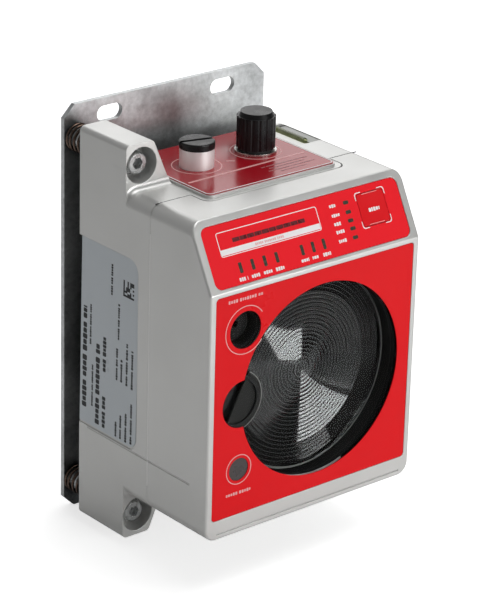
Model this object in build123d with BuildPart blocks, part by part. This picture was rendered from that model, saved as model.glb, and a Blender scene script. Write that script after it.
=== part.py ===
from build123d import *
import os
from math import asin, atan2, cos, radians, sin, sqrt, tan

# Optical data transmission unit: a cast housing with a large receiving lens, sprung off a slotted wall plate.
# X runs to the right, Y from the front to the wall and Z up. The origin is the middle of the plate's back.

# Lens window, which sets the size of the front, the housing and the plate
window_r = 38.0
window_left = 12.7
window_right = 5.7
window_margin = 5.8

# Wall plate
plate_side = 2.0
plate_end = 3.6
plate_t = 2.0
plate_corner = 4.8
slot_len = 11.8
slot_w = 6.2
slot_inset_x = 20.9
slot_inset_z = 6.2

# Housing
rear_d = 42.0
hood_d = 34.8
gap = 12.4
wall = 3.0
floor_t = 3.0
corner_r = 5.0
edge_r = 1.0
knee_drop = 24.0
brow_d = 12.7
front_wall = 5.0
slant_wall = 3.0
seam_v = 0.35
lip_h = 2.4
lip_line_w = 0.7
lip_line_deep = 0.5

# Ears and alignment screws
ear_up = 18.0
ear_d = 27.6
ear_tip_w = 12.4
ear_root_w = 20.2
ear_root_r = 2.2
ear_corner_r = 2.0
screw_side = 7.0
screw_end = 8.6
screw_r = 2.5
head_r = 4.2
head_h = 5.0
socket_r = 2.3
socket_deep = 2.6
head_edge = 0.5
washer_r = 5.6
washer_t = 1.0
recess_r = 6.9
head_deep = 2.2
bore_gap = 0.3
pivot_bore_gap = 1.2
seat_gap = 0.25
nut_r = 3.9
nut_len = 7.5
nut_shank_r = 3.3
nut_bore_gap = 0.45
screw_tip = 4.7
pivot_tip = 1.0
spring_r = 4.95
spring_wire_r = 0.55
spring_turns = 4.0
wire_sides = 8
spring_seat_r = 6.2
spring_seat_deep = 1.5

# Joint between the two housing halves
seal_w = 1.0
seal_t = 1.0
seal_inset = 1.0
boss_side = 7.0
boss_end = 10.6
boss_r = 4.5
hood_boss_len = 12.0
joint_screw_r = 1.9
joint_head_r = 3.5
joint_head_h = 2.5
seat_side_gap = 0.1

# Front pane and its red print
frame_side = 2.8
frame_low = 8.0
pane_drop = 1.6
pane_t = 2.2
foil_t = 0.3
foil_sunk = 0.1
pane_gap = 0.15
pane_corner_r = 1.5

# Optics, seen from the front
lens_gap = 0.2
lens_rim = 2.3
lens_ledge_w = 2.0
lens_ledge_t = 1.5
lens_t = 3.4
lens_ring_h = 0.9
lens_rings = 9
lens_deep = 10.0
barrel_side = 2.0
barrel_wall = 1.8
throat_r = 8.0
emitter_side = 13.2
emitter_window_r = 9.2
emitter_r = 10.0
emitter_wall = 1.4
emitter_len = 26.0
pointer_up = 28.9
pointer_gap = 1.6702
pointer_window_r = 7.2
pointer_r = 8.0
pointer_wall = 1.3
pointer_len = 24.0
led_side = 12.2
led_low = 18.0
led_window_r = 4.5
led_r = 5.4
led_wall = 1.2
led_len = 12.0
tube_gap = 0.15
lead_hole_r = 1.5
throat_gap = 0.2
opening_gap = 0.3
flange_side = 5.0
flange_over = 0.7
flange_t = 2.0
flange_screw_in = 3.6
flange_screw_r = 1.2

# Control panel on the slanted face, measured up the slant from the knee
panel_side = 3.5
panel_h = 22.8
panel_up = 12.8
panel_r = 3.0
panel_foil_t = 0.5
panel_sunk = 0.2
key_w = 13.0
key_h = 12.2
key_side = 17.5
key_up = 15.1
key_t = 1.2
key_gap = 0.2
key_travel = 0.4
key_floor_gap = 0.2
key_r = 1.5
key_stem_r = 2.5
key_stem_gap = 0.1
light_bar_w = 1.3
light_bar_h = 3.4
light_bar_up = 7.25
light_bars_side = [16.4, 22.0, 27.6, 33.2, 45.2, 50.4, 55.6]
mode_light_w = 2.2
mode_light_h = 1.2
mode_light_side = 29.4
mode_light_up = 13.0
mode_light_pitch = 3.3
mode_lights = 5
display_side = 33.0
display_up = 17.4
display_w = 36.0
display_h = 3.0
board_t = 1.6
switch_w = 6.0
switch_h = 3.0
switch_button_h = 0.8
switch_gap = 0.5
display_board_deep = 9.0
display_board_side = 7.0
display_board_h = 20.0

# Connector deck on the top
deck_left = 18.4
deck_right = 15.5
deck_front = 9.6
deck_r = 4.2
pad_in = 2.0
pad_h = 0.9
deck_label_t = 0.3
deck_label_in = 0.7
tongue_gap = 0.4
notch_gap = 0.3
connector_pitch = 28.3
connector_back = 21.8
sleeve_r = 6.5
sleeve_bore_r = 5.3
sleeve_up = 7.35
sleeve_down = 9.0
insert_up = 2.0
nut_af = 17.0
nut_t = 3.0
plug_head_r = 6.7
plug_head_h = 2.7
plug_shank_r = 5.0
plug_shank_len = 5.0
slot_cut_w = 1.7
slot_cut_d = 1.0
slot_turn = -15.0
ring_r = 0.5
ring_mid_r = 5.9
ring_gap = 0.05
post_r = 5.9
post_bore_r = 4.5
post_up = 10.5
post_flange_r = 8.0
post_flange_t = 1.0
pin_r = 0.5
pin_circle_r = 2.6
pins = 5
cap_r = 7.4
cap_h = 14.0
cap_top_r = 6.0
cap_taper = 1.7
cap_bore_gap = 0.3
cap_flutes = 18
cap_flute_r = 0.75
cap_seal_t = 0.8

# Spirit level let into the top
level_pocket_w = 9.4
level_pocket_len = 23.0
level_pocket_deep = 4.4
level_pocket_side = 7.3
level_pocket_back = 1.2
level_pocket_r = 1.0
level_wall = 1.4
cradle_t = 1.6
vial_r = 1.9
vial_len = 17.5
vial_in = 2.3

# Type label and its pocket on the left side
label_front = 7.4
label_ends = 46.7
label_t = 0.2
label_z = -1.6
label_r = 5.0
pocket_margin = 0.8
pocket_deep = 0.9
pocket_lean = 0.8
rib_line_w = 0.7
rib_line_deep = 0.3
rib_line_len = 25.0
rib_line_up = 20.4
rib_line_rear_len = 37.0

# Boards inside
main_board_side = 12.0
main_board_end = 6.6
standoff_side = 17.0
standoff_end = 10.6
standoff_r = 3.0
main_board_deep = 28.0
receiver_r = 4.2
receiver_len = 5.0
diode_r = 2.8
diode_len = 4.0
emitter_lens_t = 2.4
emitter_lens_up = 1.2
emitter_lens_deep = 3.0
pointer_module_len = 16.0
pointer_module_deep = 5.0
pointer_eye_r = 1.6
led_r_inner = 2.5
led_bulb_len = 6.0
part_gap = 0.05
board_cans = [(-26.0, 20.0, 5.0, 16.0), (-26.0, 6.0, 5.0, 16.0), (24.0, 26.0, 3.2, 9.0)]
board_blocks = [
    (-24.0, -24.0, 16.0, 12.0, 10.0),
    (0.0, -8.0, 14.0, 14.0, 2.0),
    (22.0, -12.0, 9.0, 9.0, 1.6),
    (0.0, -40.0, 30.0, 8.0, 7.0),
    (4.0, 18.0, 20.0, 6.0, 6.0),
]

# Places that follow from the sizes above
y_plate = -plate_t
y_rear = y_plate - gap
y_seam = y_rear - rear_d
y_rib_mid = y_seam + (rib_line_rear_len - rib_line_len) / 2
y_front = y_seam - hood_d
y_ear = y_rear - ear_d
pane_w = window_left + 2 * window_r + window_right
pane_h = 2 * window_r + 2 * window_margin
housing_w = pane_w + 2 * frame_side
housing_h = frame_low + pane_h + pane_drop + knee_drop
half_w = housing_w / 2
half_h = housing_h / 2
ear_h = housing_h + 2 * ear_up
plate_w = housing_w - 2 * plate_side
plate_h = ear_h + 2 * plate_end
slot_x = plate_w / 2 - slot_inset_x
slot_z = plate_h / 2 - slot_inset_z
screw_x = half_w - screw_side
screw_z = ear_h / 2 - screw_end
boss_x = half_w - boss_side
boss_z = half_h - boss_end
barrel_r = window_r + barrel_side
panel_w = housing_w - 2 * panel_side
flange_w = housing_w - 2 * flange_side
flange_h = pane_h + 2 * flange_over
flange_screw_x = flange_w / 2 - flange_screw_in
flange_screw_z = flange_h / 2 - flange_screw_in
display_board_w = housing_w - 2 * display_board_side
main_board_w = housing_w - 2 * main_board_side
main_board_h = housing_h - 2 * main_board_end
standoff_x = half_w - standoff_side
standoff_z = half_h - standoff_end
label_w = rear_d - label_front
label_h = housing_h - label_ends
rib_line_z = rib_line_up - half_h
z_lip = lip_h - half_h
z_knee = half_h - knee_drop
y_brow = y_front + brow_d
lean = atan2(brow_d, knee_drop)
y_wall_in = y_front + front_wall
y_pane_back = y_front + foil_sunk + foil_t + pane_t
pane_z = z_knee - pane_drop - pane_h / 2
lens_x = (window_left - window_right) / 2
lens_z = pane_z
emitter_x = emitter_side - pane_w / 2
pointer_x = lens_x - sqrt((window_r + pointer_window_r + pointer_gap) ** 2 - pointer_up**2)
pointer_z = lens_z + pointer_up
led_x = led_side - pane_w / 2
led_z = pane_z - pane_h / 2 + led_low
key_x = half_w - key_side
mode_light_x = half_w - mode_light_side
light_bars_x = [side - half_w for side in light_bars_side]
display_x = display_side - half_w
deck_w = housing_w - deck_left - deck_right
deck_x = (deck_left - deck_right) / 2
bus_x = deck_x - connector_pitch / 2
power_x = deck_x + connector_pitch / 2
level_pocket_x = half_w - level_pocket_side
vial_x = level_pocket_x - vial_in
y_connector = y_rear - connector_back
z_deck = half_h + pad_h
z_label = z_deck + deck_label_t
y_deck_front = y_seam - deck_front
deck_len = y_rear - y_deck_front
y_deck = (y_rear + y_deck_front) / 2
pad_w = deck_w - 2 * pad_in
pad_len = deck_len - pad_in
y_pad = y_rear - pad_len / 2
y_board = y_rear - floor_t - main_board_deep
y_lens = y_wall_in + lens_deep
y_emitter_floor = y_pane_back + tube_gap + emitter_len - emitter_wall
emitter_bore_r = emitter_r - emitter_wall
y_emitter_lens = y_pane_back + tube_gap + emitter_lens_deep + emitter_lens_t + emitter_lens_up
emitter_dome_r = (emitter_bore_r ** 2 + emitter_lens_up ** 2) / (2 * emitter_lens_up)
half_dome = asin(emitter_bore_r / emitter_dome_r) / 2
dome_fall = emitter_dome_r * (1 - cos(half_dome))
pointer_bore_r = pointer_r - pointer_wall
y_pointer_front = y_pane_back + tube_gap + pointer_module_deep
y_led_floor = y_pane_back + tube_gap + led_len - led_wall
z_vial = half_h - level_pocket_deep + cradle_t + vial_r
z_plug = z_label + sleeve_up + ring_gap
z_cap = z_label + post_flange_t + cap_seal_t + 2 * ring_gap
y_washer = y_ear + head_deep + head_h + washer_t
y_level = y_rear - level_pocket_back - level_pocket_len / 2
y_label = y_rear - label_w / 2
lens_r = barrel_r - lens_gap
ring_pitch = (lens_r - lens_rim) / lens_rings
barrel_len = y_board - board_t - throat_gap - y_wall_in
middle_light = (mode_lights - 1) / 2
mode_lights_up = [mode_light_up + (i - middle_light) * mode_light_pitch for i in range(mode_lights)]
carrier_bores = [
    (emitter_x, lens_z, emitter_r, emitter_len, emitter_wall),
    (pointer_x, pointer_z, pointer_r, pointer_len, pointer_wall),
    (led_x, led_z, led_r, led_len, led_wall),
]
ear_places = [(-1, 1), (-1, -1), (1, -1)]
corners = [(-1, 1), (-1, -1), (1, -1), (1, 1)]


def front_plane(y):
    """A plane that faces the front: its own x is X, its own y is Z, and it extrudes forwards."""
    return Plane(origin=(0, y, 0), x_dir=(1, 0, 0), z_dir=(0, -1, 0))


def slant_plane(deep=0.0):
    """A plane on the slanted face, or this deep below it, with its origin at the knee."""
    origin = (0, y_front + deep * cos(lean), z_knee - deep * sin(lean))
    return Plane(origin=origin, x_dir=(1, 0, 0), z_dir=(0, -cos(lean), sin(lean)))


def slant_y(z, deep):
    """Where the slanted face, moved this deep, is at height z."""
    return y_front + (z - z_knee) * tan(lean) + deep / cos(lean)


def slant_z(y, deep):
    """How high the slanted face, moved this deep, is at depth y."""
    return z_knee + (y - y_front - deep / cos(lean)) / tan(lean)


def radial_plane(x, y, z):
    """A plane through a bore that runs front to back: its own x is the radius, its own y is Y."""
    return Plane(origin=(x, y, z), x_dir=(1, 0, 0), z_dir=(0, 0, 1))


def label_plane(up):
    """A plane on the label pocket's floor, or this far above it, facing left, its own x forwards."""
    across = radians(pocket_lean)
    deep = pocket_deep - up
    origin = (-half_w + deep * cos(across), y_label, label_z)
    return Plane(origin=origin, x_dir=(0, -1, 0), z_dir=(-cos(across), 0, sin(across)))


def save(part, name):
    """Label a finished piece and write it."""
    part.part.label = name
    export_step(part.part, f"parts/{name}.step")


os.makedirs("parts", exist_ok=True)

# Mounting plate: cut from galvanised sheet, with two slots at each end and holes for the threaded inserts
with BuildPart() as mounting_plate:
    with BuildSketch(front_plane(0)) as plate_face:
        Rectangle(plate_w, plate_h)
        chamfer(plate_face.vertices(), length=plate_corner)
        with Locations(*[(x * slot_x, z * slot_z) for x, z in corners]):
            SlotOverall(slot_len, slot_w, mode=Mode.SUBTRACT)
        with Locations(*[(x * screw_x, z * screw_z) for x, z in ear_places]):
            Circle(nut_shank_r, mode=Mode.SUBTRACT)
    extrude(amount=plate_t)
save(mounting_plate, "mounting_plate")


def threaded_insert(name, x, z):
    """A pressed-in threaded insert that stands forward from the plate inside the spring."""
    with BuildPart() as insert:
        with BuildSketch(front_plane(0)):
            with Locations((x, z)):
                Circle(nut_shank_r)
        extrude(amount=plate_t)
        with BuildSketch(front_plane(y_plate)):
            with Locations((x, z)):
                Circle(nut_r)
        extrude(amount=nut_len)
        with BuildSketch(front_plane(0)):
            with Locations((x, z)):
                Circle(screw_r + nut_bore_gap)
        extrude(amount=plate_t + nut_len, mode=Mode.SUBTRACT)
    save(insert, name)


threaded_insert("top_insert", -screw_x, screw_z)
threaded_insert("pivot_insert", -screw_x, -screw_z)
threaded_insert("side_insert", screw_x, -screw_z)

# Rear housing: a cast tub with three ears, screw bosses, the connector deck and the level's pocket
with BuildPart() as rear_housing:
    with BuildSketch(front_plane(y_rear)):
        RectangleRounded(housing_w, housing_h, corner_r)
    extrude(amount=rear_d)
    chamfer(rear_housing.faces().sort_by(Axis.Y)[0].edges(), length=seam_v)
    for sx, sz in ear_places:
        with BuildSketch(front_plane(y_rear)):
            with BuildLine():
                Polyline(
                    (sx * half_w, sz * (half_h - corner_r - ear_corner_r)),
                    (sx * half_w, sz * ear_h / 2),
                    (sx * (half_w - ear_tip_w), sz * ear_h / 2),
                    (sx * (half_w - ear_root_w), sz * half_h),
                    (sx * (half_w - ear_root_w), sz * (half_h - corner_r - ear_corner_r)),
                    close=True,
                )
            make_face()
        extrude(amount=ear_d)
        # Hollow rounding between the ear's front and the housing
        with BuildSketch(Plane.YZ.offset(sx * (half_w - corner_r))):
            with Locations((y_ear - ear_root_r / 2, sz * half_h)):
                Rectangle(ear_root_r, 2 * ear_root_r)
            with Locations((y_ear - ear_root_r, sz * (half_h + ear_root_r))):
                Circle(ear_root_r, mode=Mode.SUBTRACT)
        extrude(amount=-sx * (ear_root_w - corner_r - ear_root_r / 2))
    ear_edges = rear_housing.edges().filter_by(Axis.Y)
    fillet(ear_edges.filter_by(lambda e: abs(e.center().Z) > ear_h / 2 - ear_corner_r), radius=ear_corner_r)
    # Connector deck: a tongue that reaches into the hood's notch, and the raised pad on it
    with BuildSketch(Plane.XY.offset(half_h - wall / 2)):
        with Locations((deck_x, y_deck)):
            RectangleRounded(deck_w, deck_len, deck_r)
    extrude(amount=wall / 2)
    with BuildSketch(Plane.XY.offset(half_h - wall / 2)):
        with Locations((deck_x, y_pad)):
            RectangleRounded(pad_w, pad_len, deck_r - pad_in / 2)
        with Locations((deck_x, y_rear - pad_len / 4)):
            Rectangle(pad_w, pad_len / 2)
    extrude(amount=wall / 2 + pad_h)
    # Cavity, open to the front
    with BuildSketch(front_plane(y_seam)):
        RectangleRounded(housing_w - 2 * wall, housing_h - 2 * wall, corner_r - wall)
    extrude(amount=-(rear_d - floor_t), mode=Mode.SUBTRACT)
    with BuildSketch(front_plane(y_rear - floor_t)):
        with Locations(*[(x * boss_x, z * boss_z) for x, z in corners]):
            Circle(boss_r)
    extrude(amount=rear_d - floor_t)
    with BuildSketch(front_plane(y_rear - floor_t)):
        with Locations(*[(x * standoff_x, z * standoff_z) for x, z in corners]):
            Circle(standoff_r)
    extrude(amount=main_board_deep)
    # Groove for the seal, in the rim
    with BuildSketch(front_plane(y_seam)):
        RectangleRounded(housing_w - 2 * seal_inset, housing_h - 2 * seal_inset, corner_r - seal_inset)
        RectangleRounded(
            housing_w - 2 * seal_inset - 2 * seal_w,
            housing_h - 2 * seal_inset - 2 * seal_w,
            corner_r - seal_inset - seal_w,
            mode=Mode.SUBTRACT,
        )
    extrude(amount=-seal_t, mode=Mode.SUBTRACT)
    # Screw recesses in the ears' fronts, bores and the springs' seats
    with BuildSketch(front_plane(y_ear)):
        with Locations(*[(x * screw_x, z * screw_z) for x, z in ear_places]):
            Circle(recess_r)
    extrude(amount=-(head_deep + head_h + washer_t), mode=Mode.SUBTRACT)
    with BuildSketch(front_plane(y_rear)):
        with Locations((-screw_x, screw_z), (screw_x, -screw_z)):
            Circle(screw_r + bore_gap)
        with Locations((-screw_x, -screw_z)):
            Circle(screw_r + pivot_bore_gap)
    extrude(amount=ear_d, mode=Mode.SUBTRACT)
    with BuildSketch(front_plane(y_rear)):
        with Locations(*[(x * screw_x, z * screw_z) for x, z in ear_places]):
            Circle(spring_seat_r)
    extrude(amount=spring_seat_deep, mode=Mode.SUBTRACT)
    # Connector holes through the deck
    with BuildSketch(Plane.XY.offset(z_deck)):
        with Locations((bus_x, y_connector)):
            Circle(sleeve_r)
        with Locations((power_x, y_connector)):
            Circle(post_r)
    extrude(amount=-(pad_h + wall), mode=Mode.SUBTRACT)
    # Pocket for the spirit level, with a floor and walls hung under the top
    with BuildSketch(Plane.XY.offset(half_h - wall)):
        with Locations((level_pocket_x, y_level)):
            Rectangle(level_pocket_w + 2 * level_wall, level_pocket_len + 2 * level_wall)
    extrude(amount=-(level_pocket_deep + level_wall - wall))
    with BuildSketch(Plane.XY.offset(half_h)):
        with Locations((level_pocket_x, y_level)):
            RectangleRounded(level_pocket_w, level_pocket_len, level_pocket_r)
    extrude(amount=-level_pocket_deep, mode=Mode.SUBTRACT)
    # Bores for the joint screws, with their heads sunk in the back
    with BuildSketch(front_plane(y_rear)):
        with Locations(*[(x * boss_x, z * boss_z) for x, z in corners]):
            Circle(joint_screw_r)
    extrude(amount=rear_d, mode=Mode.SUBTRACT)
    with BuildSketch(front_plane(y_rear)):
        with Locations(*[(x * boss_x, z * boss_z) for x, z in corners]):
            Circle(joint_head_r)
    extrude(amount=joint_head_h, mode=Mode.SUBTRACT)
    # Pocket for the type label in the left side, a little deeper at its top
    with BuildSketch(label_plane(0)):
        RectangleRounded(label_w + 2 * pocket_margin, label_h + 2 * pocket_margin, label_r)
        with Locations((-(label_w + 2 * pocket_margin) / 2, 0)):
            Rectangle(2 * label_r, label_h + 2 * pocket_margin)
    extrude(amount=2 * wall, mode=Mode.SUBTRACT)
    # Fine moulded line that runs over the seam, low on each side
    for side in (-1, 1):
        with BuildSketch(Plane.YZ.offset(side * (half_w - rib_line_deep))):
            with Locations((y_rib_mid, rib_line_z)):
                SlotOverall(rib_line_len + rib_line_rear_len, rib_line_w)
        extrude(amount=side * wall, mode=Mode.SUBTRACT)
save(rear_housing, "rear_housing")

# Front hood: a deep cast shell with a slanted brow, bosses and the openings of the optics
with BuildPart() as front_hood:
    with BuildSketch(Plane.YZ.offset(-half_w)):
        with BuildLine():
            Polyline(
                (y_seam, -half_h),
                (y_seam, half_h),
                (y_brow, half_h),
                (y_front, z_knee),
                (y_front, -half_h),
                close=True,
            )
        make_face()
    extrude(amount=housing_w)
    fillet(front_hood.edges().filter_by(Axis.Y), radius=corner_r)
    front_faces = front_hood.faces().filter_by(lambda f: f.normal_at().Y < -0.5)
    fillet(front_faces.edges(), radius=edge_r)
    chamfer(front_hood.faces().sort_by(Axis.Y)[-1].edges(), length=seam_v)
    # Cavity, open to the back
    with BuildSketch(Plane.YZ.offset(-(half_w - wall))):
        with BuildLine():
            Polyline(
                (y_seam, -(half_h - wall)),
                (y_seam, half_h - wall),
                (slant_y(half_h - wall, slant_wall), half_h - wall),
                (y_wall_in, slant_z(y_wall_in, slant_wall)),
                (y_wall_in, -(half_h - wall)),
                close=True,
            )
        make_face()
    extrude(amount=housing_w - 2 * wall, mode=Mode.SUBTRACT)
    with BuildSketch(front_plane(y_seam)):
        with Locations(*[(x * boss_x, z * boss_z) for x, z in corners]):
            Circle(boss_r)
    extrude(amount=hood_boss_len)
    with BuildSketch(front_plane(y_seam)):
        with Locations(*[(x * boss_x, z * boss_z) for x, z in corners]):
            Circle(joint_screw_r)
    extrude(amount=hood_boss_len - joint_screw_r, mode=Mode.SUBTRACT)
    # Notch for the deck's tongue
    with BuildSketch(Plane.XY.offset(half_h)):
        with Locations((deck_x, y_deck - tongue_gap)):
            RectangleRounded(deck_w + 2 * tongue_gap, deck_len, deck_r)
    extrude(amount=-(wall / 2 + notch_gap), mode=Mode.SUBTRACT)
    # Seat and openings of the pane
    with BuildSketch(front_plane(y_pane_back)):
        with Locations((0, pane_z)):
            RectangleRounded(pane_w + 2 * pane_gap, pane_h + 2 * pane_gap, pane_corner_r)
    extrude(amount=front_wall, mode=Mode.SUBTRACT)
    with BuildSketch(front_plane(y_wall_in)):
        with Locations((lens_x, lens_z)):
            Circle(window_r + opening_gap)
        with Locations((emitter_x, lens_z)):
            Circle(emitter_r + opening_gap)
        with Locations((pointer_x, pointer_z)):
            Circle(pointer_r + opening_gap)
        with Locations((led_x, led_z)):
            Circle(led_r + opening_gap)
    extrude(amount=front_wall, mode=Mode.SUBTRACT)
    # Seat of the control panel, the key's pocket and the holes of the light guides
    with BuildSketch(slant_plane(panel_foil_t + panel_sunk)):
        with Locations((0, panel_up)):
            RectangleRounded(panel_w + 2 * pane_gap, panel_h + 2 * pane_gap, panel_r)
    extrude(amount=wall, mode=Mode.SUBTRACT)
    with BuildSketch(slant_plane(panel_sunk + key_t + key_travel + key_floor_gap)):
        with Locations((key_x, key_up)):
            RectangleRounded(key_w + 2 * key_gap, key_h + 2 * key_gap, key_r)
    extrude(amount=wall, mode=Mode.SUBTRACT)
    with BuildSketch(slant_plane(2 * slant_wall)):
        with Locations((key_x, key_up)):
            Circle(key_stem_r + key_stem_gap)
        with Locations(*[(x, light_bar_up) for x in light_bars_x]):
            Rectangle(light_bar_w, light_bar_h)
        with Locations(*[(mode_light_x, up) for up in mode_lights_up]):
            Rectangle(mode_light_w, mode_light_h)
        with Locations((display_x, display_up)):
            Rectangle(display_w, display_h)
    extrude(amount=2 * slant_wall, mode=Mode.SUBTRACT)
    # Fine moulded line that runs over the seam, low on each side
    for side in (-1, 1):
        with BuildSketch(Plane.YZ.offset(side * (half_w - rib_line_deep))):
            with Locations((y_rib_mid, rib_line_z)):
                SlotOverall(rib_line_len + rib_line_rear_len, rib_line_w)
        extrude(amount=side * wall, mode=Mode.SUBTRACT)
    # Fine groove above the lower lip of the front
    with BuildSketch(front_plane(y_front + lip_line_deep)):
        with Locations((0, z_lip)):
            SlotOverall(housing_w - 2 * corner_r, lip_line_w)
    extrude(amount=front_wall, mode=Mode.SUBTRACT)
save(front_hood, "front_hood")

# Seal: a flat ring that fills the groove of the rear half and meets the hood's rim
with BuildPart() as housing_seal:
    with BuildSketch(front_plane(y_seam)):
        RectangleRounded(housing_w - 2 * seal_inset, housing_h - 2 * seal_inset, corner_r - seal_inset)
        RectangleRounded(
            housing_w - 2 * seal_inset - 2 * seal_w,
            housing_h - 2 * seal_inset - 2 * seal_w,
            corner_r - seal_inset - seal_w,
            mode=Mode.SUBTRACT,
        )
    extrude(amount=-seal_t)
save(housing_seal, "housing_seal")

# Joint screws: sunk in the back, through the rear half and into the hood's bosses
with BuildPart() as joint_screws:
    with BuildSketch(front_plane(y_rear - joint_head_h)):
        with Locations(*[(x * boss_x, z * boss_z) for x, z in corners]):
            Circle(joint_head_r - seat_side_gap)
    extrude(amount=-(joint_head_h - seat_side_gap))
    with BuildSketch(front_plane(y_rear - joint_head_h)):
        with Locations(*[(x * boss_x, z * boss_z) for x, z in corners]):
            Circle(joint_screw_r)
    extrude(amount=rear_d - joint_head_h + hood_boss_len - 2 * joint_screw_r)
save(joint_screws, "joint_screws")

# Front pane of glass and the red print on its front, with its clear windows
with BuildPart() as front_pane:
    with BuildSketch(front_plane(y_pane_back)):
        with Locations((0, pane_z)):
            RectangleRounded(pane_w, pane_h, pane_corner_r)
    extrude(amount=pane_t)
save(front_pane, "front_pane")

with BuildPart() as front_print:
    with BuildSketch(front_plane(y_pane_back - pane_t)):
        with Locations((0, pane_z)):
            RectangleRounded(pane_w, pane_h, pane_corner_r)
        with Locations((lens_x, lens_z)):
            Circle(window_r, mode=Mode.SUBTRACT)
        with Locations((emitter_x, lens_z)):
            Circle(emitter_window_r, mode=Mode.SUBTRACT)
        with Locations((pointer_x, pointer_z)):
            Circle(pointer_window_r, mode=Mode.SUBTRACT)
        with Locations((led_x, led_z)):
            Circle(led_window_r, mode=Mode.SUBTRACT)
    extrude(amount=foil_t)
save(front_print, "front_print")

# Control panel: the red foil on the brow, with the cut-out of its key
with BuildPart() as control_foil:
    with BuildSketch(slant_plane(panel_foil_t + panel_sunk)):
        with Locations((0, panel_up)):
            RectangleRounded(panel_w, panel_h, panel_r)
        with Locations((key_x, key_up)):
            RectangleRounded(key_w + 2 * key_gap, key_h + 2 * key_gap, key_r, mode=Mode.SUBTRACT)
    extrude(amount=panel_foil_t)
save(control_foil, "control_foil")

# Key: a cap with a stem that slides in the brow
with BuildPart() as mode_key:
    with BuildSketch(slant_plane(panel_sunk + key_t)):
        with Locations((key_x, key_up)):
            RectangleRounded(key_w, key_h, key_r)
    extrude(amount=key_t)
    with BuildSketch(slant_plane(panel_sunk + key_t)):
        with Locations((key_x, key_up)):
            Circle(key_stem_r)
    extrude(amount=-(display_board_deep - panel_sunk - key_t - switch_h - switch_gap))
save(mode_key, "mode_key")

# Display board behind the brow, its switch, its lit bar and the light guides that stand on it
with BuildPart() as display_board:
    with BuildSketch(slant_plane(display_board_deep)):
        with Locations((0, panel_up)):
            Rectangle(display_board_w, display_board_h)
    extrude(amount=-board_t)
save(display_board, "display_board")

with BuildPart() as key_switch:
    with BuildSketch(slant_plane(display_board_deep)):
        with Locations((key_x, key_up)):
            Rectangle(switch_w, switch_w)
    extrude(amount=switch_h - switch_button_h)
    with BuildSketch(slant_plane(display_board_deep - switch_h + switch_button_h)):
        with Locations((key_x, key_up)):
            Circle(switch_w / 4)
    extrude(amount=switch_button_h)
save(key_switch, "key_switch")

with BuildPart() as light_guides:
    with BuildSketch(slant_plane(display_board_deep)):
        with Locations(*[(x, light_bar_up) for x in light_bars_x]):
            Rectangle(light_bar_w, light_bar_h)
        with Locations(*[(mode_light_x, up) for up in mode_lights_up]):
            Rectangle(mode_light_w, mode_light_h)
    extrude(amount=display_board_deep - panel_foil_t - panel_sunk)
save(light_guides, "light_guides")

with BuildPart() as display_bar:
    with BuildSketch(slant_plane(display_board_deep)):
        with Locations((display_x, display_up)):
            Rectangle(display_w, display_h)
    extrude(amount=display_board_deep - panel_foil_t - panel_sunk)
save(display_bar, "display_bar")

# Optics carrier: one black moulding with a flange, the barrel and its throat, and three tubes
with BuildPart() as optics_carrier:
    with BuildSketch(front_plane(y_wall_in + flange_t)):
        with Locations((0, pane_z)):
            RectangleRounded(flange_w, flange_h, corner_r)
    extrude(amount=flange_t)
    with BuildSketch(radial_plane(lens_x, y_wall_in, lens_z)) as barrel_half:
        with BuildLine():
            Polyline(
                (0, 0),
                (barrel_r + barrel_wall, 0),
                (barrel_r + barrel_wall, lens_deep + lens_ledge_t),
                (throat_r + barrel_wall, barrel_len),
                (0, barrel_len),
                close=True,
            )
        make_face()
    revolve(axis=Axis((lens_x, y_wall_in, lens_z), (0, 1, 0)))
    for x, z, radius, length, thick in carrier_bores:
        with BuildSketch(front_plane(y_pane_back + tube_gap + length)):
            with Locations((x, z)):
                Circle(radius)
        extrude(amount=length)
    with BuildSketch(radial_plane(lens_x, y_wall_in, lens_z)):
        with BuildLine():
            Polyline(
                (0, 0),
                (barrel_r, 0),
                (barrel_r, lens_deep),
                (barrel_r - lens_ledge_w, lens_deep),
                (throat_r, barrel_len),
                (0, barrel_len),
                close=True,
            )
        make_face()
    revolve(axis=Axis((lens_x, y_wall_in, lens_z), (0, 1, 0)), mode=Mode.SUBTRACT)
    # The emitter's tube stands in the barrel, so it is put back after the barrel is bored
    with BuildSketch(front_plane(y_pane_back + tube_gap + emitter_len)):
        with Locations((emitter_x, lens_z)):
            Circle(emitter_r)
    extrude(amount=emitter_len)
    for x, z, radius, length, thick in carrier_bores:
        with BuildSketch(front_plane(y_pane_back + tube_gap + length - thick)):
            with Locations((x, z)):
                Circle(radius - thick)
        extrude(amount=length - thick, mode=Mode.SUBTRACT)
        with BuildSketch(front_plane(y_pane_back + tube_gap + length)):
            with Locations((x, z)):
                Circle(lead_hole_r)
        extrude(amount=thick, mode=Mode.SUBTRACT)
    with BuildSketch(front_plane(y_wall_in + flange_t)):
        with Locations(*[(x * flange_screw_x, pane_z + z * flange_screw_z) for x, z in corners]):
            Circle(flange_screw_r)
    extrude(amount=flange_t, mode=Mode.SUBTRACT)
save(optics_carrier, "optics_carrier")

# Receiving lens: stepped rings moulded in its front, with a bite for the emitter's tube
with BuildPart() as receiving_lens:
    with BuildSketch(radial_plane(lens_x, y_lens, lens_z)):
        with BuildLine():
            steps = [(lens_r, 0), (lens_r, -lens_t)]
            for ring in range(lens_rings, 0, -1):
                steps.append((ring * ring_pitch, -lens_t))
                steps.append(((ring - 1) * ring_pitch, -lens_t - lens_ring_h))
            Polyline(*steps, (0, 0), close=True)
        make_face()
    revolve(axis=Axis((lens_x, y_lens, lens_z), (0, 1, 0)))
    with BuildSketch(front_plane(y_lens)):
        with Locations((emitter_x, lens_z)):
            Circle(emitter_r + lens_gap)
    extrude(amount=lens_deep, mode=Mode.SUBTRACT)
save(receiving_lens, "receiving_lens")

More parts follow.
